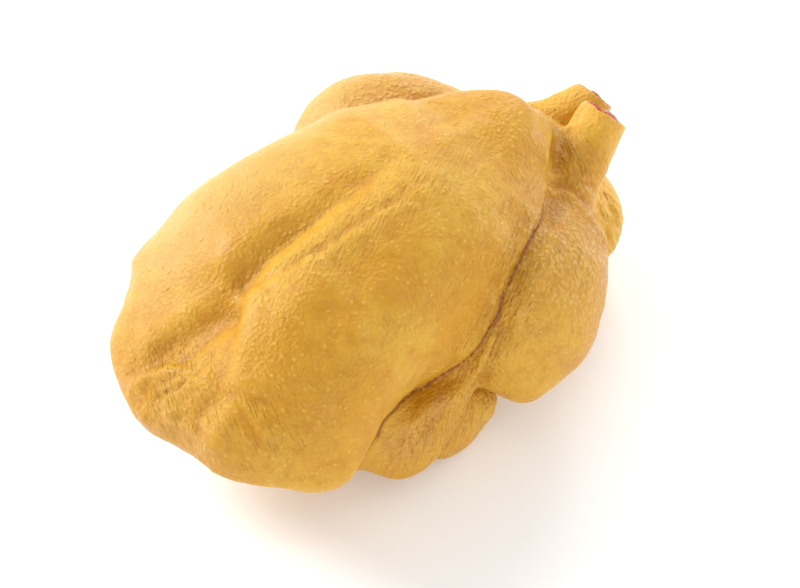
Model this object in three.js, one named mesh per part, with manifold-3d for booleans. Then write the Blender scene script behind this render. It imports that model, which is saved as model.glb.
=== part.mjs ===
import * as THREE from "three";
import { mergeVertices } from "three/addons/utils/BufferGeometryUtils.js";
import Module from "manifold-3d";

// A whole raw chicken, ready to cook, lying on its back with the breast up. Millimetres, +Z up.
// The neck end points to -X, the tail to +X, and the left and right halves lie either side of the XZ plane.

// Driving dimensions
const LENGTH = 250; // neck end to the hocks
const WIDTH = 180; // over the two thighs
const HEIGHT = 125; // the sections' measure of height, a little over the back to the top of the breast

// Relief of the skin
const WISHBONE = -0.3; // the front end of the furrow, as a share of the length
const FURROW_HALF = 0.042; // half the furrow's width, as a share of the bird's
const FURROW_OPENING = 1.2; // how fast the furrow widens in front of the wishbone
const NECK_FOLDS = 9; // folds of the neck skin to a turn about the tip of the wishbone
const NECK_FOLD_DEPTH = 0.012; // as a share of the height
const WING_HOLLOW = -0.152; // the middle of the hollow that a folded wing presses in, as a share of the length
const WING_HOLLOW_DEPTH = 0.067; // as a share of the width
const SHOULDER = -0.32;
const SHOULDER_BULGE = 0.033;
const TAIL_FOLDS = 70; // turns of the wave of the folds under the tail, over the width
const TAIL_FOLD_DEPTH = 0.012;

// The plane of the cut through each hock: the way that it faces and how far it is from the origin
const RIGHT_HOCK = { faces: [0.765, 0.218, 0.607], from: 144 };
const LEFT_HOCK = { faces: [0.83, 0.09, 0.55], from: 155 };

const UP = new THREE.Vector3(0, 0, 1);
const SKIN = new THREE.MeshStandardMaterial({ color: 0xe6aa4a, roughness: 0.45, metalness: 0 });

const wasm = await Module();
wasm.setup();

// A station is one section of a form: where its middle is and how wide and high it is to either side.
// along, across and up are shares of the bird's length, width and height; wide and high of its width and height.
function station(along, across, up, wide, high) {
  return {
    middle: new THREE.Vector3(along * LENGTH, across * WIDTH, up * HEIGHT),
    half: new THREE.Vector3(wide * WIDTH, high * HEIGHT, 0),
  };
}

// Turns a mesh whose shared vertices are merged into a solid that can be joined and cut.
function solidOf(geometry) {
  const plain = geometry.clone();
  plain.deleteAttribute("normal");
  plain.deleteAttribute("uv");
  const merged = mergeVertices(plain, 1e-4);
  return new wasm.Manifold(
    new wasm.Mesh({
      numProp: 3,
      vertProperties: new Float32Array(merged.getAttribute("position").array),
      triVerts: new Uint32Array(merged.index.array),
    }),
  );
}

// A soft closed form that runs through its stations: a sphere whose poles are stretched to the first and the last
// station and whose rings take the stations' sizes. blunt is 2 for round ends and more for fuller ones. square does
// the same for the sections, keel narrows them below the middle, dent lowers the skin over a spot of the plan and
// sides moves it in at a spot of the side view.
function form(stations, side, options = {}) {
  const { blunt = 3, square = 2, keel = 0, around = 32, rings = 24, top = UP } = options;
  const { dent = () => 0, sides = () => 0 } = options;
  const mirror = new THREE.Vector3(1, side, 1);
  const middles = new THREE.CatmullRomCurve3(stations.map((s) => s.middle.clone().multiply(mirror)));
  const halves = new THREE.CatmullRomCurve3(stations.map((s) => s.half));
  const sphere = new THREE.SphereGeometry(1, around, rings);
  const place = sphere.getAttribute("position");
  for (let i = 0; i < place.count; i++) {
    const t = THREE.MathUtils.clamp((1 - place.getY(i)) / 2, 0, 1);
    const sin = place.getZ(i);
    const cos = place.getX(i);
    const round = (Math.abs(sin) ** square + Math.abs(cos) ** square) ** (1 / square);
    const full = (1 - Math.abs(2 * t - 1) ** blunt) ** (1 / blunt);
    const size = round > 1e-6 ? full / round : 0;
    const tangent = middles.getTangent(t);
    const across = new THREE.Vector3().crossVectors(top, tangent).normalize();
    const up = new THREE.Vector3().crossVectors(tangent, across);
    const half = halves.getPoint(t);
    const narrow = 1 + keel * Math.min(0, sin * size);
    const point = middles
      .getPoint(t)
      .addScaledVector(across, cos * size * half.x * narrow)
      .addScaledVector(up, sin * size * half.y);
    const lower = sin > 0 ? dent(point.x / LENGTH, point.y / WIDTH) * HEIGHT : 0;
    const inward = sides(point.x / LENGTH, point.z / HEIGHT) * WIDTH * Math.tanh((6 * point.y) / WIDTH);
    place.setXYZ(i, point.x, point.y - inward, point.z - lower);
  }
  const solid = solidOf(sphere);
  if (solid.volume() > 0) return solid;
  sphere.setIndex([...sphere.index.array].reverse());
  return solidOf(sphere);
}

// How much lower the skin lies along the furrow between the two breast muscles, which opens into a V over the
// neck skin in front of the wishbone, where folds fan out from its tip
function furrow(along, across) {
  const before = Math.max(0, WISHBONE - along);
  const half = FURROW_HALF + FURROW_OPENING * before;
  const depth = Math.max(0, 0.035 - 0.16 * Math.max(along, WISHBONE)) * Math.max(0, 1 - before / 0.22);
  const spread = Math.atan2(across - 0.02, before + 0.02);
  const fold = NECK_FOLD_DEPTH * Math.min(1, before / 0.06) * Math.cos(NECK_FOLDS * spread);
  return (depth + fold) * Math.exp(-((across / half) ** 2));
}

// How far in the folded wings press the sides, behind the shoulders, which stand out a little
function wingHollow(along, up) {
  const hollow = Math.exp(-(((along - WING_HOLLOW) / 0.104) ** 2) - ((up - 0.4) / 0.224) ** 2);
  const shoulder = Math.exp(-(((along - SHOULDER) / 0.056) ** 2) - ((up - 0.36) / 0.2) ** 2);
  return WING_HOLLOW_DEPTH * hollow - SHOULDER_BULGE * shoulder;
}

// The loose skin about the tail lies in folds that run along the bird.
function tailFolds(along, across) {
  return along > 0.4 ? TAIL_FOLD_DEPTH * Math.cos(TAIL_FOLDS * across) : 0;
}

// The breast and the neck skin that runs down from it over the front of the bird
function torso() {
  return form(
    [
      station(-0.504, 0.081, 0.35, 0.167, 0.112),
      station(-0.456, 0.067, 0.374, 0.278, 0.176),
      station(-0.38, 0.036, 0.408, 0.375, 0.288),
      station(-0.244, 0.003, 0.456, 0.417, 0.424),
      station(-0.048, 0.022, 0.496, 0.378, 0.456),
      station(0.12, 0.028, 0.552, 0.339, 0.432),
      station(0.228, 0.031, 0.636, 0.278, 0.336),
      station(0.288, 0.033, 0.704, 0.206, 0.264),
      station(0.334, 0.039, 0.716, 0.172, 0.232),
    ],
    1,
    { around: 56, rings: 44, blunt: 3, square: 2.5, keel: 0.45, dent: furrow, sides: wingHollow },
  );
}

// The back that the bird lies on, from the shoulders to the tail
function back() {
  return form(
    [
      station(-0.344, 0.011, 0.24, 0.167, 0.176),
      station(-0.22, 0, 0.24, 0.278, 0.256),
      station(0, 0, 0.24, 0.3, 0.256),
      station(0.248, 0, 0.264, 0.256, 0.256),
      station(0.416, 0, 0.24, 0.133, 0.192),
    ],
    1,
    { around: 32, rings: 18 },
  );
}

// The tail with the loose skin about it
function tail() {
  return form(
    [
      station(0.264, 0, 0.336, 0.233, 0.288),
      station(0.368, -0.011, 0.288, 0.211, 0.256),
      station(0.452, -0.028, 0.24, 0.161, 0.208),
      station(0.52, -0.033, 0.2, 0.094, 0.12),
    ],
    1,
    { around: 36, rings: 18, dent: tailFolds },
  );
}

// The skin that hangs from the tip of the breast over the vent, between the legs
function ventSkin() {
  return form(
    [
      station(0.24, 0, 0.528, 0.167, 0.288),
      station(0.328, -0.006, 0.528, 0.144, 0.24),
      station(0.392, -0.017, 0.48, 0.122, 0.176),
      station(0.432, -0.022, 0.416, 0.089, 0.128),
    ],
    1,
    { around: 28, rings: 14 },
  );
}

// A thigh with its drumstick, up to the hock
function rightLeg() {
  return form(
    [
      station(0.016, 0.239, 0.256, 0.106, 0.16),
      station(0.076, 0.256, 0.336, 0.189, 0.296),
      station(0.148, 0.261, 0.4, 0.206, 0.328),
      station(0.216, 0.244, 0.464, 0.172, 0.288),
      station(0.268, 0.208, 0.504, 0.133, 0.208),
      station(0.316, 0.15, 0.56, 0.083, 0.136),
      station(0.388, 0.103, 0.648, 0.078, 0.112),
      station(0.496, 0.058, 0.792, 0.092, 0.132),
    ],
    -1,
    { around: 30, rings: 28, blunt: 4 },
  );
}

function leftLeg() {
  return form(
    [
      station(0.036, 0.3, 0.336, 0.1, 0.16),
      station(0.096, 0.328, 0.416, 0.178, 0.264),
      station(0.16, 0.339, 0.48, 0.2, 0.304),
      station(0.232, 0.289, 0.528, 0.167, 0.264),
      station(0.304, 0.2, 0.552, 0.111, 0.176),
      station(0.368, 0.128, 0.56, 0.078, 0.12),
      station(0.44, 0.067, 0.608, 0.067, 0.104),
      station(0.536, 0.011, 0.712, 0.072, 0.112),
    ],
    1,
    { around: 30, rings: 28, blunt: 4 },
  );
}

// The folded wing: its upper arm runs back from the shoulder, its forearm comes forward again to the wrist and
// its hand runs back once more, over the forearm, to a narrow tip between the breast and the thigh.
function upperArm(side) {
  return form(
    [
      station(-0.3, 0.222, 0.304, 0.111, 0.176),
      station(-0.12, 0.267, 0.192, 0.089, 0.144),
      station(0.048, 0.3, 0.128, 0.056, 0.096),
    ],
    side,
    { around: 20, rings: 14 },
  );
}

function foreArm(side) {
  return form(
    [
      station(0.056, 0.322, 0.128, 0.039, 0.056),
      station(0.036, 0.317, 0.112, 0.056, 0.08),
      station(-0.02, 0.333, 0.104, 0.056, 0.096),
      station(-0.1, 0.344, 0.112, 0.056, 0.096),
    ],
    side,
    { around: 20, rings: 16 },
  );
}

function hand(side) {
  return form(
    [
      station(-0.228, 0.311, 0.168, 0.044, 0.056),
      station(-0.184, 0.311, 0.176, 0.078, 0.088),
      station(-0.116, 0.317, 0.216, 0.083, 0.096),
      station(-0.048, 0.311, 0.272, 0.061, 0.08),
      station(0, 0.306, 0.344, 0.044, 0.072),
      station(0.044, 0.306, 0.416, 0.039, 0.056),
      station(0.08, 0.294, 0.488, 0.022, 0.04),
    ],
    side,
    { around: 24, rings: 20, top: new THREE.Vector3(0.1, 0.7 * side, 0.7) },
  );
}

// Cuts a leg off at its hock.
function jointed(leg, { faces, from }) {
  return leg.trimByPlane(
    faces.map((share) => -share),
    -from,
  );
}

// The bird in one solid, with its back flat where it lies and the middle of its box over the origin
function chicken() {
  let bird = torso().add(back()).add(tail()).add(ventSkin());
  bird = bird.add(jointed(rightLeg(), RIGHT_HOCK)).add(jointed(leftLeg(), LEFT_HOCK));
  for (const side of [-1, 1]) {
    for (const piece of [upperArm, foreArm, hand]) bird = bird.add(piece(side));
  }
  const floorBox = new THREE.BoxGeometry(2 * LENGTH, 2 * WIDTH, HEIGHT).translate(0, 0, -HEIGHT / 2);
  const resting = bird.subtract(solidOf(floorBox));
  const { min, max } = resting.boundingBox();
  return resting.translate([-(min[0] + max[0]) / 2, -(min[1] + max[1]) / 2, 0]);
}

function meshOf(name, solid, material) {
  const { vertProperties, triVerts } = solid.getMesh();
  const geometry = new THREE.BufferGeometry();
  geometry.setAttribute("position", new THREE.BufferAttribute(vertProperties, 3));
  geometry.setIndex(new THREE.BufferAttribute(triVerts, 1));
  geometry.computeVertexNormals();
  const mesh = new THREE.Mesh(geometry, material);
  mesh.name = name;
  return mesh;
}

const part = new THREE.Group();
part.add(meshOf("chicken", chicken(), SKIN));

export default part;
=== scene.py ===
import math

import bmesh
import bpy
import numpy as np
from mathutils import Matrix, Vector, noise
from mathutils.bvhtree import BVHTree


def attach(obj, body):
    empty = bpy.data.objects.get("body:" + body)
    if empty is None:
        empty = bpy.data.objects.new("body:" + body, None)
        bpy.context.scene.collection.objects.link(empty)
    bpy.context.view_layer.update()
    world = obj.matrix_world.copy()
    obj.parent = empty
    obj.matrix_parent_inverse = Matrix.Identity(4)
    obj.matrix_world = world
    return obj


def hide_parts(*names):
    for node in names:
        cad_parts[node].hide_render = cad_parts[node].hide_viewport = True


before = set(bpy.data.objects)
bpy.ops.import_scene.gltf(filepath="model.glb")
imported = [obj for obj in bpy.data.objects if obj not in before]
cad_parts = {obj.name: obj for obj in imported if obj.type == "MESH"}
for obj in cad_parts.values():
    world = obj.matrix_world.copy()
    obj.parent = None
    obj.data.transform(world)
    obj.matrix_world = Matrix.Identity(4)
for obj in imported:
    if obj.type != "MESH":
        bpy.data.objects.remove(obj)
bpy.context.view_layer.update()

MM = 0.001

# Camera

CAMERA_SIDE = math.radians(-39)
CAMERA_UP = math.radians(47)
CAMERA_AIM = Vector((-1.15, -15.2, 50)) * MM
CAMERA_DISTANCE = 980 * MM
IMAGE_RIGHT = Vector((math.cos(CAMERA_SIDE), math.sin(CAMERA_SIDE), 0))
TO_CAMERA = Vector((
    math.sin(CAMERA_SIDE) * math.cos(CAMERA_UP),
    -math.cos(CAMERA_SIDE) * math.cos(CAMERA_UP),
    math.sin(CAMERA_UP),
))


def aim(thing, place, at):
    thing.location = place
    thing.rotation_euler = (at - place).to_track_quat("-Z", "Y").to_euler()
    bpy.context.scene.collection.objects.link(thing)


def make_camera():
    lens = bpy.data.cameras.new("camera")
    lens.lens = 100
    lens.sensor_width = 36
    lens.sensor_fit = "HORIZONTAL"
    camera = bpy.data.objects.new("camera", lens)
    aim(camera, CAMERA_AIM + TO_CAMERA * CAMERA_DISTANCE, CAMERA_AIM)
    bpy.context.scene.camera = camera


make_camera()

# Forms

# How far apart the skin's own points are, in millimetres
SKIN_GRAIN = 1.31
# Where the right hock ends and the left one begins, across the bird
BETWEEN_HOCKS = -14
# Each station is one section of a form, in millimetres: its middle, then half its width and half its height.
TORSO = [
    (-126, 14.5, 43.8, 30, 14), (-114, 12, 46.8, 50, 22), (-95, 6.5, 51, 67.5, 36),
    (-61, 0.5, 57, 75, 53), (-12, 4, 62, 68, 57), (30, 5, 69, 61, 54), (57, 5.5, 79.5, 50, 42),
    (72, 6, 88, 37, 33), (83.5, 7, 89.5, 31, 29),
]
BACK = [
    (-86, 2, 30, 30, 22), (-55, 0, 30, 50, 32), (0, 0, 30, 54, 32), (62, 0, 33, 46, 32),
    (104, 0, 30, 24, 24),
]
TAIL = [(66, 0, 42, 42, 36), (92, -2, 36, 38, 32), (113, -5, 30, 29, 26), (130, -6, 25, 17, 15)]
VENT_SKIN = [(60, 0, 66, 30, 36), (82, -1, 66, 26, 30), (98, -3, 60, 22, 22), (108, -4, 52, 16, 16)]
RIGHT_LEG = [
    (4, -43, 32, 19, 20), (19, -46, 42, 34, 37), (37, -47, 50, 37, 41), (54, -44, 58, 31, 36),
    (67, -37.5, 63, 24, 26), (79, -27, 70, 15, 17), (97, -18.5, 81, 14, 14), (124, -10.5, 99, 16.5, 16.5),
]
LEFT_LEG = [
    (9, 54, 42, 18, 20), (24, 59, 52, 32, 33), (40, 61, 60, 36, 38), (58, 52, 66, 30, 33),
    (76, 36, 69, 20, 22), (92, 23, 70, 14, 15), (110, 12, 76, 12, 13), (134, 2, 89, 13, 14),
]
UPPER_ARM = [(-75, 40, 38, 20, 22), (-30, 48, 24, 16, 18), (12, 54, 16, 10, 12)]
FOREARM = [(14, 58, 16, 7, 7), (9, 57, 14, 10, 10), (-5, 60, 13, 10, 12), (-25, 62, 14, 10, 12)]
HAND = [
    (-57, 56, 21, 8, 7), (-46, 56, 22, 14, 11), (-29, 57, 27, 15, 12), (-12, 56, 34, 11, 10),
    (0, 55, 43, 8, 9), (11, 55, 52, 7, 7), (20, 53, 61, 4, 5),
]
# The plane of the cut through each hock: the way that it faces and how far it is from the forms' own origin
RIGHT_HOCK = ((0.765, 0.218, 0.607), 144)
LEFT_HOCK = ((0.83, 0.09, 0.55), 155)


def curve_through(points, share):
    """Points on a smooth curve through the given points, at shares from 0, its start, to 1, its end."""
    points = np.array(points, float)
    last = len(points) - 1
    place = np.clip(share, 0, 1) * last
    span = np.minimum(place.astype(int), last - 1)
    w = (place - span)[:, None]
    ends = np.vstack([2 * points[0] - points[1], points, 2 * points[-1] - points[-2]])
    p0, p1, p2, p3 = (ends[span + k] for k in range(4))
    d0, d1, d2 = (np.sqrt(np.linalg.norm(b - a, axis=1))[:, None] for a, b in ((p0, p1), (p1, p2), (p2, p3)))
    d1 = np.maximum(d1, 1e-4)
    d0 = np.where(d0 < 1e-4, d1, d0)
    d2 = np.where(d2 < 1e-4, d1, d2)
    leave = ((p1 - p0) / d0 - (p2 - p0) / (d0 + d1) + (p2 - p1) / d1) * d1
    reach = ((p2 - p1) / d1 - (p3 - p1) / (d1 + d2) + (p3 - p2) / d2) * d1
    bend = -3 * p1 + 3 * p2 - 2 * leave - reach
    twist = 2 * p1 - 2 * p2 + leave + reach
    return p1 + leave * w + bend * w ** 2 + twist * w ** 3


def mesh_points(mesh):
    points = np.empty(len(mesh.vertices) * 3)
    mesh.vertices.foreach_get("co", points)
    return points.reshape(-1, 3)


def form(
    stations, side=1, blunt=3, square=2, keel=0, around=96, rings=96, top=(0, 0, 1),
    dent=None, sides=None, cut=None,
):
    """A sphere drawn out through its stations, as a mesh in millimetres."""
    ball = bmesh.new()
    bmesh.ops.create_uvsphere(ball, u_segments=around, v_segments=rings, radius=1)
    mesh = bpy.data.meshes.new("form")
    ball.to_mesh(mesh)
    ball.free()
    x, y, z = mesh_points(mesh).T
    share = np.clip((1 - z) / 2, 0, 1)
    stations = np.array(stations, float) * (1, side, 1, 1, 1)
    middle = curve_through(stations[:, :3], share)
    half = curve_through(stations[:, 3:], share)
    ahead = curve_through(stations[:, :3], np.minimum(share + 1e-4, 1))
    tangent = ahead - curve_through(stations[:, :3], np.maximum(share - 1e-4, 0))
    tangent /= np.linalg.norm(tangent, axis=1)[:, None]
    across = np.cross(np.array(top, float), tangent)
    across /= np.linalg.norm(across, axis=1)[:, None]
    up = np.cross(tangent, across)
    ring = (np.abs(x) ** square + np.abs(y) ** square) ** (1 / square)
    full = (1 - np.abs(2 * share - 1) ** blunt) ** (1 / blunt)
    size = np.where(ring > 1e-6, full / np.maximum(ring, 1e-6), 0)
    narrow = 1 + keel * np.minimum(0, y * size)
    aside = x * size * half[:, 0] * narrow
    above = y * size * half[:, 1]
    points = middle + across * aside[:, None] + up * above[:, None]
    lower = np.where(y > 0, dent(points[:, 0], points[:, 1]), 0) if dent else 0
    if sides:
        points[:, 1] -= sides(points[:, 0], points[:, 2]) * np.tanh(points[:, 1] / 30)
    points[:, 2] -= lower
    if cut:
        facing = np.array(cut[0])
        beyond = np.maximum(0, points @ facing - cut[1])
        points -= beyond[:, None] * facing
    mesh.vertices.foreach_set("co", points.ravel())
    return mesh


def furrow(x, y):
    """How much lower the skin lies in the furrow of the breast and on the neck skin in front of it."""
    before = np.maximum(0, -75 - x)
    half = 7.5 + 0.86 * before
    depth = np.maximum(0, 4.4 - 0.08 * np.maximum(x, -75)) * np.maximum(0, 1 - before / 55)
    return depth * np.exp(-((y / half) ** 2))


def wing_hollow(x, z):
    """How far in the folded wings press the sides, behind the shoulders, which stand out a little."""
    hollow = np.exp(-(((x + 38) / 26) ** 2) - ((z - 50) / 28) ** 2)
    shoulder = np.exp(-(((x + 80) / 14) ** 2) - ((z - 45) / 25) ** 2)
    return 12 * hollow - 6 * shoulder


def bird_forms():
    forms = [
        form(TORSO, square=2.5, keel=0.45, around=224, rings=224, dent=furrow, sides=wing_hollow),
        form(BACK, around=128),
        form(TAIL, around=128),
        form(VENT_SKIN),
        form(RIGHT_LEG, blunt=4, around=128, rings=128, cut=RIGHT_HOCK),
        form(LEFT_LEG, blunt=4, around=128, rings=128, cut=LEFT_HOCK),
    ]
    for side in (-1, 1):
        forms += [form(UPPER_ARM, side), form(FOREARM, side), form(HAND, side, top=(0.1, 0.7 * side, 0.7))]
    return forms


def joined(forms):
    """All the forms in one mesh, set over the frame's origin like the solid, and flat where it lies."""
    whole = bmesh.new()
    for mesh in forms:
        whole.from_mesh(mesh)
        bpy.data.meshes.remove(mesh)
    bmesh.ops.recalc_face_normals(whole, faces=whole.faces)
    mesh = bpy.data.meshes.new("chicken_skin")
    whole.to_mesh(mesh)
    whole.free()
    points = mesh_points(mesh)
    points[:, 2] = np.maximum(points[:, 2], 0)
    low, high = points.min(axis=0), points.max(axis=0)
    moved = np.array((-(low[0] + high[0]) / 2, -(low[1] + high[1]) / 2, 0))
    mesh.vertices.foreach_set("co", ((points + moved) * MM).ravel())
    return mesh, moved


def one_skin(mesh, grain):
    """A single closed skin over a mesh of forms that run through one another."""
    piece = bpy.data.objects.new("chicken_skin", mesh)
    bpy.context.scene.collection.objects.link(piece)
    remesh = piece.modifiers.new("skin", "REMESH")
    remesh.mode = "VOXEL"
    remesh.voxel_size = grain * MM
    remesh.use_smooth_shade = True
    seen = piece.evaluated_get(bpy.context.evaluated_depsgraph_get())
    skin = bpy.data.meshes.new_from_object(seen)
    piece.modifiers.clear()
    piece.data = skin
    bpy.data.meshes.remove(mesh)
    skin.name = "chicken_skin"
    return piece


# Modelling the skin

# How many points a line on the skin is followed by
LINE_POINTS = 160


class Clay:
    """The skin's points in millimetres, and the moves that shape them."""

    def __init__(self, piece):
        self.piece, self.mesh = piece, piece.data
        self.points = mesh_points(self.mesh) / MM
        ends = np.empty(len(self.mesh.edges) * 2, int)
        self.mesh.edges.foreach_get("vertices", ends)
        self.ends = ends.reshape(-1, 2)
        self.count = np.bincount(ends, minlength=len(self.points))[:, None]
        self.settle()

    def store(self):
        self.mesh.vertices.foreach_set("co", (self.points * MM).ravel())
        self.mesh.update()

    def settle(self):
        """Keeps the surface as it is now for the lines that are laid on it next."""
        self.store()
        bpy.context.view_layer.update()
        self.surface = BVHTree.FromObject(self.piece, bpy.context.evaluated_depsgraph_get())

    def normals(self):
        self.store()
        normals = np.empty(len(self.points) * 3)
        self.mesh.vertices.foreach_get("normal", normals)
        return normals.reshape(-1, 3)

    def around(self, values):
        """The mean of each point's neighbours."""
        a, b = self.ends.T
        size = len(self.points)
        total = [
            np.bincount(a, values[b, k], minlength=size) + np.bincount(b, values[a, k], minlength=size)
            for k in range(values.shape[1])
        ]
        return np.stack(total, axis=1) / self.count

    def soften(self, times, share=1):
        share = np.broadcast_to(share, len(self.points))[:, None] * 0.5
        for _ in range(times):
            self.points += (self.around(self.points) - self.points) * share

    def laid(self, path):
        """Points along a smooth line that is laid on the skin."""
        line = curve_through(path, np.linspace(0, 1, LINE_POINTS))
        return np.array([self.surface.find_nearest(Vector(point) * MM)[0] for point in line]) / MM

    def near(self, path, width, over=None):
        """How near each point is to a line on the skin: 1 on it, fading over the width and towards its ends.

        With over, a direction, it is above 0 on that side of the line and below 0 on the other.
        """
        line = self.laid(path)
        reach = 2.6 * width
        low, high = line.min(axis=0) - reach, line.max(axis=0) + reach
        boxed = np.all((self.points > low) & (self.points < high), axis=1)
        close = np.zeros(len(self.points))
        if boxed.any():
            apart = self.points[boxed][:, None, :] - line[None, :, :]
            length = np.linalg.norm(apart, axis=2)
            nearest = length.argmin(axis=1)
            last = LINE_POINTS - 1
            fade = np.minimum(1, 7 * np.minimum(nearest, last - nearest) / last + 0.1)
            close[boxed] = np.exp(-((length.min(axis=1) / width) ** 2)) * fade
            if over is not None:
                side = apart[np.arange(len(nearest)), nearest] @ (np.array(over) / np.linalg.norm(over))
                close[boxed] *= 2.3 * side / width
        return close

    def move(self, heights):
        """Moves each point out along its normal by a height in millimetres."""
        self.points += self.normals() * heights[:, None]

    def press(self, strokes):
        for path, width, height, *over in strokes:
            self.move(self.near(path, width, *over) * height)
        self.settle()

    def pull(self, middle, reach, way):
        self.points += spot(self.points, middle, reach)[:, None] * np.array(way)


def spot(points, middle, reach):
    """1 at the middle of a soft ball, 0 outside its reach."""
    apart = np.linalg.norm((points - np.array(middle)) / np.array(reach), axis=1)
    rise = np.clip(1 - apart, 0, 1)
    return rise ** 2 * (3 - 2 * rise)


def lumps(points, size, seed=0):
    """Smooth noise with lumps of the given size, from -1 to 1."""
    drift = Vector((seed * 17.3, seed * 5.1, seed * 9.7))
    return np.array([noise.noise(Vector(p) / size + drift) for p in points])


def waves(points, across, length, wander, seed):
    """A wave of ridges that are a length apart along a direction and wander a little."""
    along = points @ (np.array(across) / np.linalg.norm(across))
    return np.sin((along + wander * lumps(points, 9, seed)) * 2 * math.pi / length)


# Each pull moves the skin around a place, in millimetres: the place, how far the pull reaches, and its way.
PULLS = [
    ((86, 2, 106), (40, 44, 36), (3, -1, 3)),
    ((81, -4, 109), (24, 28, 26), (3.2, 0.6, 3.4)),
    ((50, 20, 110), (26, 18, 20), (0, 1.5, 2.2)),
    ((-45, 43, 106), (44, 30, 34), (-0.8, 2.2, 1.4)),
    ((-92, 51, 73), (30, 30, 32), (-2.2, 1.2, 0.6)),
    ((-114, 34, 60), (28, 32, 32), (-2.4, 2, 0)),
    ((-127, -30, 55), (26, 42, 32), (4.6, 0, 2.6)),
    ((-94, -75, 44), (34, 26, 38), (-1.6, -5.2, -1.4)),
    ((-42, -76, 16), (24, 18, 20), (-0.6, -3, -0.6)),
    ((12, -82, 37), (28, 24, 24), (-2.6, -3.4, -4.4)),
    ((2, -74, 12), (22, 16, 18), (-0.8, 2.4, 1.2)),
    ((6, -68, 21), (16, 14, 14), (3.4, -2.2, 1.8)),
    ((-6, -66, 55), (15, 15, 15), (-2.8, 2.4, 0.6)),
]
# Each stroke is a line over the skin, its width and its height, and where one fold of skin laps over another,
# the direction of the side that lies on top.
UNDER_BREAST = [
    (-66, -65, 20), (-63, -66, 31), (-54, -66, 39), (-49, -63, 43), (-42, -61, 43), (-33, -58, 42),
    (-22, -58, 42), (-12, -60, 47), (-5, -63, 54), (1, -68, 66), (8, -69, 75),
]
BESIDE_BREAST = [
    (8, -69, 75), (14, -66, 82), (28, -60, 89), (40, -54, 91), (55, -44, 89), (65, -35, 91),
    (74, -25, 98),
]
BREAST_EDGE = UNDER_BREAST + BESIDE_BREAST[1:]
# The breast's side of that edge, which lies over the wing and the thigh
BREAST_SIDE = (-0.37, 0.72, 0.43)
THIGH_EDGE = [
    (64, -30, 90), (68, -35, 88), (74, -38, 86), (76, -43, 83), (76, -51, 79), (75, -60, 74),
    (74, -66, 66),
]
TIP_EDGE = [
    (95, 8, 87), (90, -3, 92), (85, -12, 94), (79, -20, 96), (73, -27, 97), (67, -33, 94),
]
KEEL = [(-66, -26, 108), (-50, -26, 113), (-34, -26, 115), (-17, -26, 117), (0, -26, 118), (20, -25, 117)]
WING_EDGE = [
    (10, -70, 76), (6, -73, 69), (1, -73, 60), (-3, -71, 48), (-9, -71, 40), (-13, -73, 31), (-19, -74, 20),
]
FILLS = [
    ([(-76, -8, 103), (-60, -9, 110), (-40, -9, 114), (0, -8, 119), (35, -6, 117), (60, -3, 112)], 9, 3.2),
    ([(-43, -66, 40), (-31, -64, 40), (-22, -64, 42), (-14, -63, 46), (-9, -67, 57), (-2, -70, 66)], 6, 3),
    ([(2, -65, 26), (-7, -70, 24), (-15, -73, 20)], 6, 3),
    ([(7, -74, 68), (14, -72, 78), (22, -69, 84), (33, -65, 88), (43, -59, 91), (54, -51, 88)], 6, 2.4),
    ([(-83, -16, 96), (-88, -10, 90), (-93, -5, 87), (-99, 0, 82), (-107, 5, 75), (-117, 10, 65)], 7.5, -2.6),
    (
        [(-74, -17, 103), (-81, -21, 101), (-87, -27, 97), (-94, -33, 93), (-101, -38, 88), (-105, -44, 84)],
        6, 3,
    ),
    (
        [(-48, -32, 113), (-60, -32, 110), (-72, -34, 106), (-83, -38, 99), (-92, -44, 92), (-98, -52, 83)],
        11, 3,
    ),
]
BREAST_STROKES = [
    (
        [(-78, -17, 101), (-66, -19, 107), (-52, -21, 112), (-38, -21, 115), (-20, -22, 117), (0, -22, 118)],
        3, -1.1,
    ),
    (KEEL, 5, 1.1),
]
NECK_STROKES = [
    (
        [(-80, -16, 99), (-86, -11, 93), (-92, -5, 88), (-100, 1, 82), (-109, 7, 74), (-119, 13, 62)],
        9, 2.6, (-0.3, 1.2, 0.7),
    ),
    ([(-106, -2, 80), (-108, -12, 80), (-107, -22, 82)], 9, -1.8),
    (
        [(-107, -31, 83), (-109, -22, 79), (-114, -13, 76), (-117, 0, 67), (-124, 7, 60), (-128, 12, 52)],
        3.6, 1.9,
    ),
    ([(-113, -17, 78), (-119, -14, 72), (-122, -9, 66), (-125, -4, 59)], 1.9, -2),
    ([(-110, -20, 80), (-114, -10, 73), (-119, -3, 66)], 1.6, -1.5),
    (
        [
            (-109, -33, 82), (-112, -24, 77), (-116, -17, 75), (-122, -13, 69), (-126, -15, 64),
            (-127, -21, 62),
        ],
        3.4, 1.9,
    ),
    ([(-111, -36, 80), (-117, -32, 74), (-123, -31, 68), (-126, -37, 64)], 3, -1.6),
    ([(-107, -40, 84), (-111, -45, 80), (-117, -44, 73), (-122, -43, 68), (-124, -47, 62)], 5, 1.5),
    ([(-108, -42, 83), (-110, -54, 77), (-110, -62, 71)], 2.6, -0.8),
    ([(-105, -44, 84), (-105, -54, 79), (-104, -62, 72)], 3, 1),
]
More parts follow.
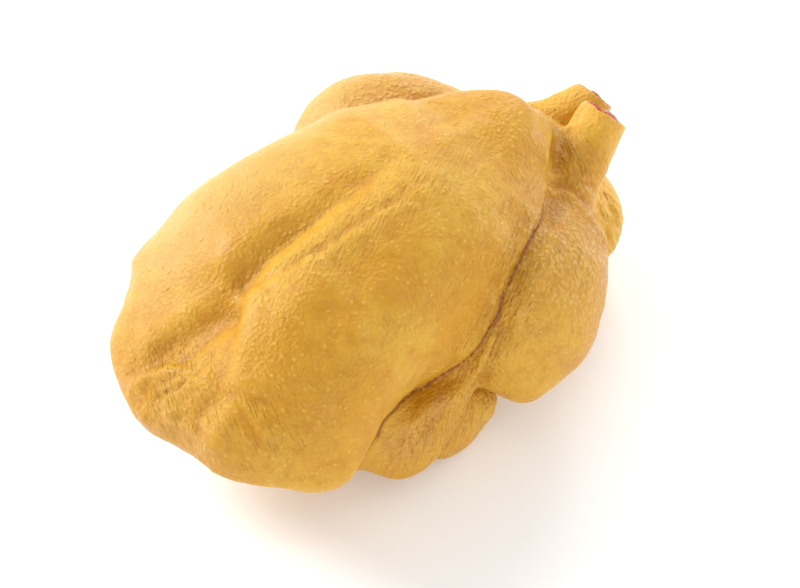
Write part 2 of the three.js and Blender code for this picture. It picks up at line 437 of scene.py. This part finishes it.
WING_STROKES = [
    ([(7, -71, 72), (2, -71, 64), (-3, -69, 52), (-11, -69, 44), (-20, -71, 37)], 4.5, 1.8),
    (BREAST_EDGE, 5, 1.3, BREAST_SIDE),
    (BREAST_EDGE, 1.4, -1.6),
    (WING_EDGE, 3, 1.5, (-1, 0, 0.4)),
    (WING_EDGE, 1.4, -1.3),
    ([(-10, -67, 46), (-17, -70, 40), (-24, -73, 35), (-30, -76, 29), (-33, -75, 18)], 3.5, 1.2),
    ([(-26, -70, 39), (-31, -72, 36), (-36, -73, 32)], 1.6, -0.8),
    ([(-6, -70, 38), (-9, -72, 30), (-15, -74, 22), (-22, -75, 15)], 1.6, -0.8),
    ([(-2, -70, 34), (-4, -71, 26), (-10, -73, 19)], 1.4, -0.6),
    ([(-16, -70, 42), (-22, -72, 38), (-27, -74, 32), (-32, -75, 24)], 1.6, -0.8),
]
LEG_STROKES = [
    (TIP_EDGE, 4, 2, (-0.7, 0.2, 0.6)),
    (TIP_EDGE, 1.8, -1.6),
    (THIGH_EDGE, 3.5, 2, (-0.9, -0.3, -0.2)),
    (THIGH_EDGE, 1.4, -0.8),
    ([(71, -32, 85), (75, -38, 86), (80, -44, 80), (84, -45, 72)], 1.6, -0.9),
    ([(72, -32, 86), (80, -38, 86), (91, -41, 79)], 1.5, -0.9),
    ([(75, -32, 87), (85, -36, 87), (95, -38, 82)], 1.6, -0.8),
    ([(98, -26, 98), (88, -28, 92), (79, -32, 88)], 2.4, 0.8),
    ([(106, -17, 102), (101, -14, 98), (94, -17, 94), (86, -19, 91), (80, -23, 89), (72, -31, 86)], 2, -1.2),
    ([(109, -27, 55), (109, -34, 48), (109, -39, 37)], 1.6, -1.1),
    ([(101, -31, 57), (101, -37, 49), (101, -41, 38)], 1.6, -1.1),
]


def hock_distance(cut):
    """How far each point is below the plane of a hock's cut."""
    facing = np.array(cut[0])
    return cut[1] + moved @ facing - clay.points @ facing


def cut_end(cut, half):
    """A hock's cut face: 1 on it, and each point's distance from its middle, as a share of its radius."""
    on_face = np.clip((1.6 - hock_distance(cut)) / 0.8, 0, 1) * half
    flat = on_face > 0.5
    apart = np.linalg.norm(clay.points - clay.points[flat].mean(axis=0), axis=1)
    return on_face, apart / np.quantile(apart[flat], 0.9)


forms, moved = joined(bird_forms())
skin = one_skin(forms, SKIN_GRAIN)
clay = Clay(skin)
clay.soften(4)

ends = [
    cut_end(RIGHT_HOCK, clay.points[:, 1] < BETWEEN_HOCKS),
    cut_end(LEFT_HOCK, clay.points[:, 1] > BETWEEN_HOCKS),
]
raw = sum(face * np.clip((1 - apart) / 0.12, 0, 1) for face, apart in ends)
cut_skin = sum(face for face, apart in ends)
bone = sum(face * np.clip((0.42 - apart) / 0.12, 0, 1) for face, apart in ends)

for pull in PULLS:
    clay.pull(*pull)
# The breast's blunt end becomes round
clay.soften(250, spot(clay.points, (64, -6, 108), (44, 50, 34)))
clay.points[:, 2] = np.maximum(clay.points[:, 2], 0)
clay.settle()
clay.press(FILLS)
# The hollows where the breast, the wing and the thigh meet become soft
clay.soften(70, clay.near(BESIDE_BREAST, 6))
clay.soften(90, clay.near(UNDER_BREAST, 6))
clay.soften(90, clay.near([(4, -65, 24), (-7, -71, 22), (-18, -74, 18)], 8))
clay.settle()
clay.press(BREAST_STROKES + NECK_STROKES + WING_STROKES + LEG_STROKES)
neck = spot(clay.points, (-118, -14, 62), (40, 60, 50))
tail = spot(clay.points, (108, -36, 44), (26, 30, 34)) + spot(clay.points, (108, 22, 44), (26, 30, 34))
# The lumps fade out where the bird lies on the floor
above = np.clip(clay.points[:, 2] / 6, 0, 1)
clay.move(above * (
    0.7 * lumps(clay.points, 16, 1) + 0.35 * lumps(clay.points, 7, 2)
    + neck * (1.0 * lumps(clay.points, 10, 3) + 0.8 * lumps(clay.points, 4.5, 4))
    + clay.near(KEEL, 7) * 0.8 * lumps(clay.points, 4.2, 7)
    + spot(clay.points, (96, -20, 92), (26, 26, 26)) * 1.1 * lumps(clay.points, 5, 8)
    + tail * 0.55 * waves(clay.points, (0.83, 0.5, 0.25), 5, 2.5, 5)
    - raw * (1.3 + 0.8 * lumps(clay.points, 4, 6)) + bone * 1.8
))
clay.soften(1, 0.4)
clay.settle()


# Painted places, each a number from 0 to 1 at every point


def paint(name, amount):
    painted = skin.data.attributes.new(name, "FLOAT", "POINT")
    painted.data.foreach_set("value", np.clip(amount, 0, 1))


def bend():
    """How much the skin bends at each point: above 0 in a crease, below 0 on a ridge."""
    amount = ((clay.around(clay.points) - clay.points) * clay.normals()).sum(axis=1)[:, None]
    for _ in range(5):
        amount = 0.5 * amount + 0.5 * clay.around(amount)
    return amount[:, 0]


def legs(points):
    """1 on the thighs and shanks."""
    right = spot(points, (48, -56, 56), (66, 44, 62))
    left = spot(points, (52, 50, 60), (66, 50, 62))
    return np.clip(2.2 * (right + left), 0, 1)


places = clay.points
hock_skin = np.clip(1 - np.minimum(hock_distance(RIGHT_HOCK), hock_distance(LEFT_HOCK)) / 12, 0, 1)
hock_skin *= places[:, 0] > 90
crinkled = 0.04 + 0.55 * clay.near([(-70, -24, 103), (-30, -24, 110), (10, -22, 117), (50, -16, 113)], 14)
crinkled += 0.7 * clay.near([(66, -32, 100), (54, -50, 92), (30, -64, 84), (6, -70, 70), (-16, -66, 52)], 14)
blushed = 0.15 * spot(places, (92, -18, 90), (20, 20, 24)) + 0.4 * hock_skin ** 2
blushed += 0.8 * clay.near([(-36, -76, 25), (-33, -73, 34), (-27, -70, 39), (-18, -67, 43)], 3)
blushed += 0.35 * spot(places, (-45, -70, 30), (22, 14, 18)) + spot(places, (-5, -64, 51), (7, 7, 7))
# Painted shade: thin dark lines where the breast laps over the wing and the thigh, along the wing's edge, and
# along the edges of the thigh and the breast's tip.
lines = 1.1 * clay.near(BREAST_EDGE, 1.6) + 0.9 * clay.near(WING_EDGE, 1.6)
lines += 0.9 * clay.near(THIGH_EDGE, 2) + 0.9 * clay.near(TIP_EDGE, 2)
fanned = neck + spot(places, (-104, -58, 74), (26, 30, 36)) + 1.2 * tail
fanned += spot(places, (88, -32, 88), (22, 20, 20))
bled = 0.8 * spot(places, (6, -70, 72), (2.5, 3, 4)) + 0.55 * spot(places, (108, -22, 103), (6, 5, 4))
# Painted shade: creases, found by how the skin bends, are coloured darker as if shade fell in them.
paint("crease", bend() / 0.05)
# Painted shade along the lines where folds of skin overlap
paint("line", lines)
paint("fanned", fanned)
# Ridges, found by how the skin bends, are painted paler: partly paler skin stretched over fat, partly painted
# highlight where ridges catch the light.
paint("ridge", -bend() / 0.05)
paint("raw", cut_skin + 0.75 * bled)
paint("bone", bone)
paint("blush", blushed)
# Painted sheen: the far side of the breast, which faces the key light, is painted paler as if lit.
paint("far_side_sheen", 1.3 * spot(places, (-50, 44, 88), (95, 52, 60)) + spot(places, (10, 60, 92), (50, 40, 34)))
winged = spot(places, (-22, -73, 26), (38, 14, 30)) + spot(places, (2, -72, 18), (18, 16, 18))
paint("winged", 2 * winged)
# The shanks, the tail and the elbow are painted a brighter gold: partly their own deeper golden tone, partly
# painted light where the lamps fall on them.
golden_and_lit = 1.6 * spot(places, (108, -18, 92), (26, 26, 28)) + 1.4 * spot(places, (108, -32, 46), (30, 30, 34))
golden_and_lit += 1.6 * spot(places, (114, 4, 80), (26, 24, 24)) + 1.6 * spot(places, (2, -68, 20), (16, 16, 16))
paint("golden_and_lit", golden_and_lit)
paint("pimpled", 0.12 + 0.88 * legs(places) + 0.35 * neck)
paint("crinkled", crinkled)


# Finish


class Value:
    """A socket that can be used in an expression, which adds the Math nodes for it."""

    def __init__(self, graph, socket):
        self.graph, self.socket = graph, socket

    def math(self, operation, first, second):
        return self.graph.add("ShaderNodeMath", {"operation": operation}, {0: first, 1: second})

    def __add__(self, other):
        return self.math("ADD", self, other)

    def __mul__(self, other):
        return self.math("MULTIPLY", self, other)

    def __sub__(self, other):
        return self.math("SUBTRACT", self, other)

    def __rsub__(self, other):
        return self.math("SUBTRACT", other, self)

    __radd__ = __add__
    __rmul__ = __mul__


class Graph:
    """A material's nodes."""

    def __init__(self, name):
        self.material = bpy.data.materials.new(name)
        self.material.use_nodes = True
        self.tree = self.material.node_tree
        self.shader = self.tree.nodes["Principled BSDF"]
        self.place = self.add("ShaderNodeTexCoord", out="Object")

    def add(self, kind, settings=None, inputs=None, out=0):
        node = self.tree.nodes.new(kind)
        for name, value in (settings or {}).items():
            setattr(node, name, value)
        for name, value in (inputs or {}).items():
            self.put(node.inputs[name], value)
        return Value(self, node.outputs[out])

    def put(self, socket, value):
        if isinstance(value, Value):
            self.tree.links.new(value.socket, socket)
        else:
            socket.default_value = value

    def scaled(self, vector, scale):
        return self.add("ShaderNodeVectorMath", {"operation": "SCALE"}, {"Vector": vector, "Scale": scale})

    def grain(self, size, detail=2.0):
        """Noise from 0 to 1 with features of a size in millimetres."""
        place = self.scaled(self.place, 1 / (size * MM))
        return self.add("ShaderNodeTexNoise", {}, {"Vector": place, "Scale": 1.0, "Detail": detail})

    def wrinkles(self, across, fine, long):
        """Noise drawn out into wrinkles: fine across them, long along them, in millimetres."""
        direction = Vector(across).normalized()
        sides = {0: self.place, 1: direction}
        along = self.add("ShaderNodeVectorMath", {"operation": "DOT_PRODUCT"}, sides, "Value")
        squeezed = self.scaled(tuple(direction), along * ((1 / fine - 1 / long) / MM))
        place = self.add("ShaderNodeVectorMath", {"operation": "ADD"}, {
            0: self.scaled(self.place, 1 / (long * MM)), 1: squeezed,
        })
        inputs = {"Vector": place, "Scale": 1.0, "Detail": 2.0, "Distortion": 0.4}
        return self.add("ShaderNodeTexNoise", {}, inputs)

    def band(self, value, low, high):
        """0 up to low and 1 from high on, or the other way round where low is the larger."""
        return self.add("ShaderNodeMapRange", {"interpolation_type": "SMOOTHSTEP"}, {
            "Value": value, "From Min": low, "From Max": high, "To Min": 0.0, "To Max": 1.0,
        })

    def dots(self, spacing, radius):
        """Round dots, 1 at the middle of each."""
        place = self.scaled(self.place, 1 / (spacing * MM))
        cells = self.add("ShaderNodeTexVoronoi", {}, {"Vector": place, "Scale": 1.0, "Randomness": 0.85})
        return self.band(cells, radius / spacing, 0.0)

    def mix(self, share, first, second):
        first, second = (c if isinstance(c, Value) else (*c, 1) for c in (first, second))
        return self.add("ShaderNodeMix", {"data_type": "RGBA"}, {"Factor": share, 6: first, 7: second}, 2)

    def painted(self, name):
        return self.add("ShaderNodeAttribute", {"attribute_name": name}, out="Fac")

    def bump(self, height, distance, under=None):
        inputs = {"Height": height, "Distance": distance * MM, "Strength": 1.0}
        if under:
            inputs["Normal"] = under
        return self.add("ShaderNodeBump", {}, inputs)


SKIN_DEEP = (0.48, 0.19, 0.003)
SKIN_FULL = (0.57, 0.27, 0.006)
SKIN_PALE = (0.63, 0.35, 0.025)
# Painted sheen for the lit far side of the breast
FAR_SIDE_SHEEN = (0.64, 0.425, 0.14)
# Painted shade for creases
CREASE_SHADE = (0.44, 0.17, 0.005)
WING = (0.74, 0.385, 0.05)
# Own golden tone, brightened with painted light
GOLDEN_AND_LIT = (0.78, 0.45, 0.05)
# Painted shade for the dark lines where folds of skin overlap
LINE_SHADE = (0.24, 0.07, 0.004)
PIMPLE = (0.76, 0.46, 0.05)
# Painted highlight on the tops of the pebbled skin
PEBBLE_HIGHLIGHT = (0.68, 0.40, 0.11)
BLUSH = (0.43, 0.17, 0.06)
RAW = (0.40, 0.008, 0.018)
BONE = (0.50, 0.28, 0.21)


def skin_finish():
    g = Graph("chicken_skin")
    colour = g.mix(g.band(g.grain(34, 3.0), 0.38, 0.64), SKIN_FULL, SKIN_PALE)
    colour = g.mix(g.band(g.grain(6, 3.0), 0.4, 0.72) * 0.45, colour, SKIN_DEEP)
    # Painted sheen on the far side of the breast, broken up by noise
    colour = g.mix(g.painted("far_side_sheen") * (0.4 + g.grain(20) * 0.6), colour, FAR_SIDE_SHEEN)
    # Ridges paler: partly stretched skin, partly painted highlight
    colour = g.mix(g.painted("ridge") * 0.3, colour, SKIN_PALE)
    # Painted shade in the creases
    colour = g.mix(g.painted("crease") * 0.45, colour, CREASE_SHADE)
    colour = g.mix(g.painted("blush") * (0.3 + g.grain(4, 3.0) * 0.9), colour, BLUSH)
    pimpled = g.painted("pimpled")
    winged = g.painted("winged")
    colour = g.mix(winged * (0.25 + g.grain(5) * 0.5), colour, WING)
    # Brighter gold on shanks, tail and elbow: own tone and painted light
    colour = g.mix(g.painted("golden_and_lit") * (0.25 + g.grain(4) * 0.7), colour, GOLDEN_AND_LIT)
    pimples = g.dots(3.9, 1.35) * (1 - winged)
    pebbles = g.dots(2.6, 1.9)
    # Painted shade in the grooves between the pebbles of the thighs
    colour = g.mix((1 - pebbles) * pimpled * 0.5, colour, SKIN_DEEP)
    colour = g.mix(pimples * 0.55, colour, PIMPLE)
    # Painted highlight on the tops of the pebbles
    colour = g.mix(pebbles * pimpled * 0.6, colour, PEBBLE_HIGHLIGHT)
    # Painted shade: dark lines where folds of skin overlap
    colour = g.mix(g.band(g.painted("line"), 0.62, 0.98) * 0.85, colour, LINE_SHADE)
    colour = g.mix(g.band(g.painted("raw") + g.grain(2.2) * 0.4, 0.55, 0.75), colour, RAW)
    colour = g.mix(g.painted("bone"), colour, BONE)
    g.put(g.shader.inputs["Base Color"], colour)
    g.put(g.shader.inputs["Roughness"], 0.32 + g.grain(9) * 0.2)
    g.put(g.shader.inputs["Coat Weight"], g.band(g.grain(14), 0.4, 0.7) * 0.08 + pimpled * 0.12)
    g.shader.inputs["Coat Roughness"].default_value = 0.22
    g.shader.inputs["Specular IOR Level"].default_value = 0.35
    g.shader.inputs["Subsurface Weight"].default_value = 0.15
    g.shader.inputs["Subsurface Radius"].default_value = (1.0, 0.45, 0.12)
    g.shader.inputs["Subsurface Scale"].default_value = 2.5 * MM
    edge_folds = g.wrinkles((-0.44, 0.73, 0.3), 1.2, 8)
    fan_folds = g.wrinkles((0.8, -0.4, 0.4), 1.3, 9)
    relief = g.bump(edge_folds * g.painted("crinkled"), 2.4)
    relief = g.bump(fan_folds * g.painted("fanned"), 2.4, relief)
    relief = g.bump(g.wrinkles((0.75, 0.1, -0.6), 1.3, 9) * winged, 2.6, relief)
    relief = g.bump(g.grain(1.6, 3.0), 1.0, relief)
    relief = g.bump(pimples * 0.5 + pebbles * pimpled, 0.8, relief)
    g.put(g.shader.inputs["Normal"], relief)
    return g.material


skin.data.materials.clear()
skin.data.materials.append(skin_finish())

# Stage


def make_floor():
    sheet = bmesh.new()
    bmesh.ops.create_grid(sheet, x_segments=1, y_segments=1, size=3)
    mesh = bpy.data.meshes.new("floor")
    sheet.to_mesh(mesh)
    sheet.free()
    floor = bpy.data.objects.new("floor", mesh)
    bpy.context.scene.collection.objects.link(floor)
    finish = bpy.data.materials.new("floor")
    finish.use_nodes = True
    shader = finish.node_tree.nodes["Principled BSDF"]
    shader.inputs["Base Color"].default_value = (0.93, 0.93, 0.93, 1)
    shader.inputs["Roughness"].default_value = 0.9
    shader.inputs["Emission Color"].default_value = (1, 1, 1, 1)
    shader.inputs["Emission Strength"].default_value = 0.12
    mesh.materials.append(finish)


def make_light(name, right, away, up, size, power):
    """A round soft light, placed as the camera sees it: metres to the right, away from it and up."""
    lamp = bpy.data.lights.new(name, "AREA")
    lamp.shape = "DISK"
    lamp.size = size
    lamp.energy = power
    away_from_camera = Vector((-TO_CAMERA.x, -TO_CAMERA.y, 0)).normalized()
    place = IMAGE_RIGHT * right + away_from_camera * away + Vector((0, 0, up))
    aim(bpy.data.objects.new(name, lamp), place, Vector((0, 0, 0.05)))


make_floor()
make_light("key_light", -1.3, 0.5, 1.0, 0.8, 27.5)
make_light("back_light", 0.3, 1.4, 0.9, 0.8, 12)
make_light("right_light", 1.4, 0.7, 0.3, 0.6, 8)
make_light("front_light", 0.6, -1.35, 0.5, 0.8, 7.5)
world = bpy.data.worlds.new("studio")
world.use_nodes = True
world.node_tree.nodes["Background"].inputs["Color"].default_value = (1, 1, 1, 1)
world.node_tree.nodes["Background"].inputs["Strength"].default_value = 0.69
bpy.context.scene.world = world
bpy.context.scene.view_settings.view_transform = "Standard"

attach(skin, "root")
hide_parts("chicken")
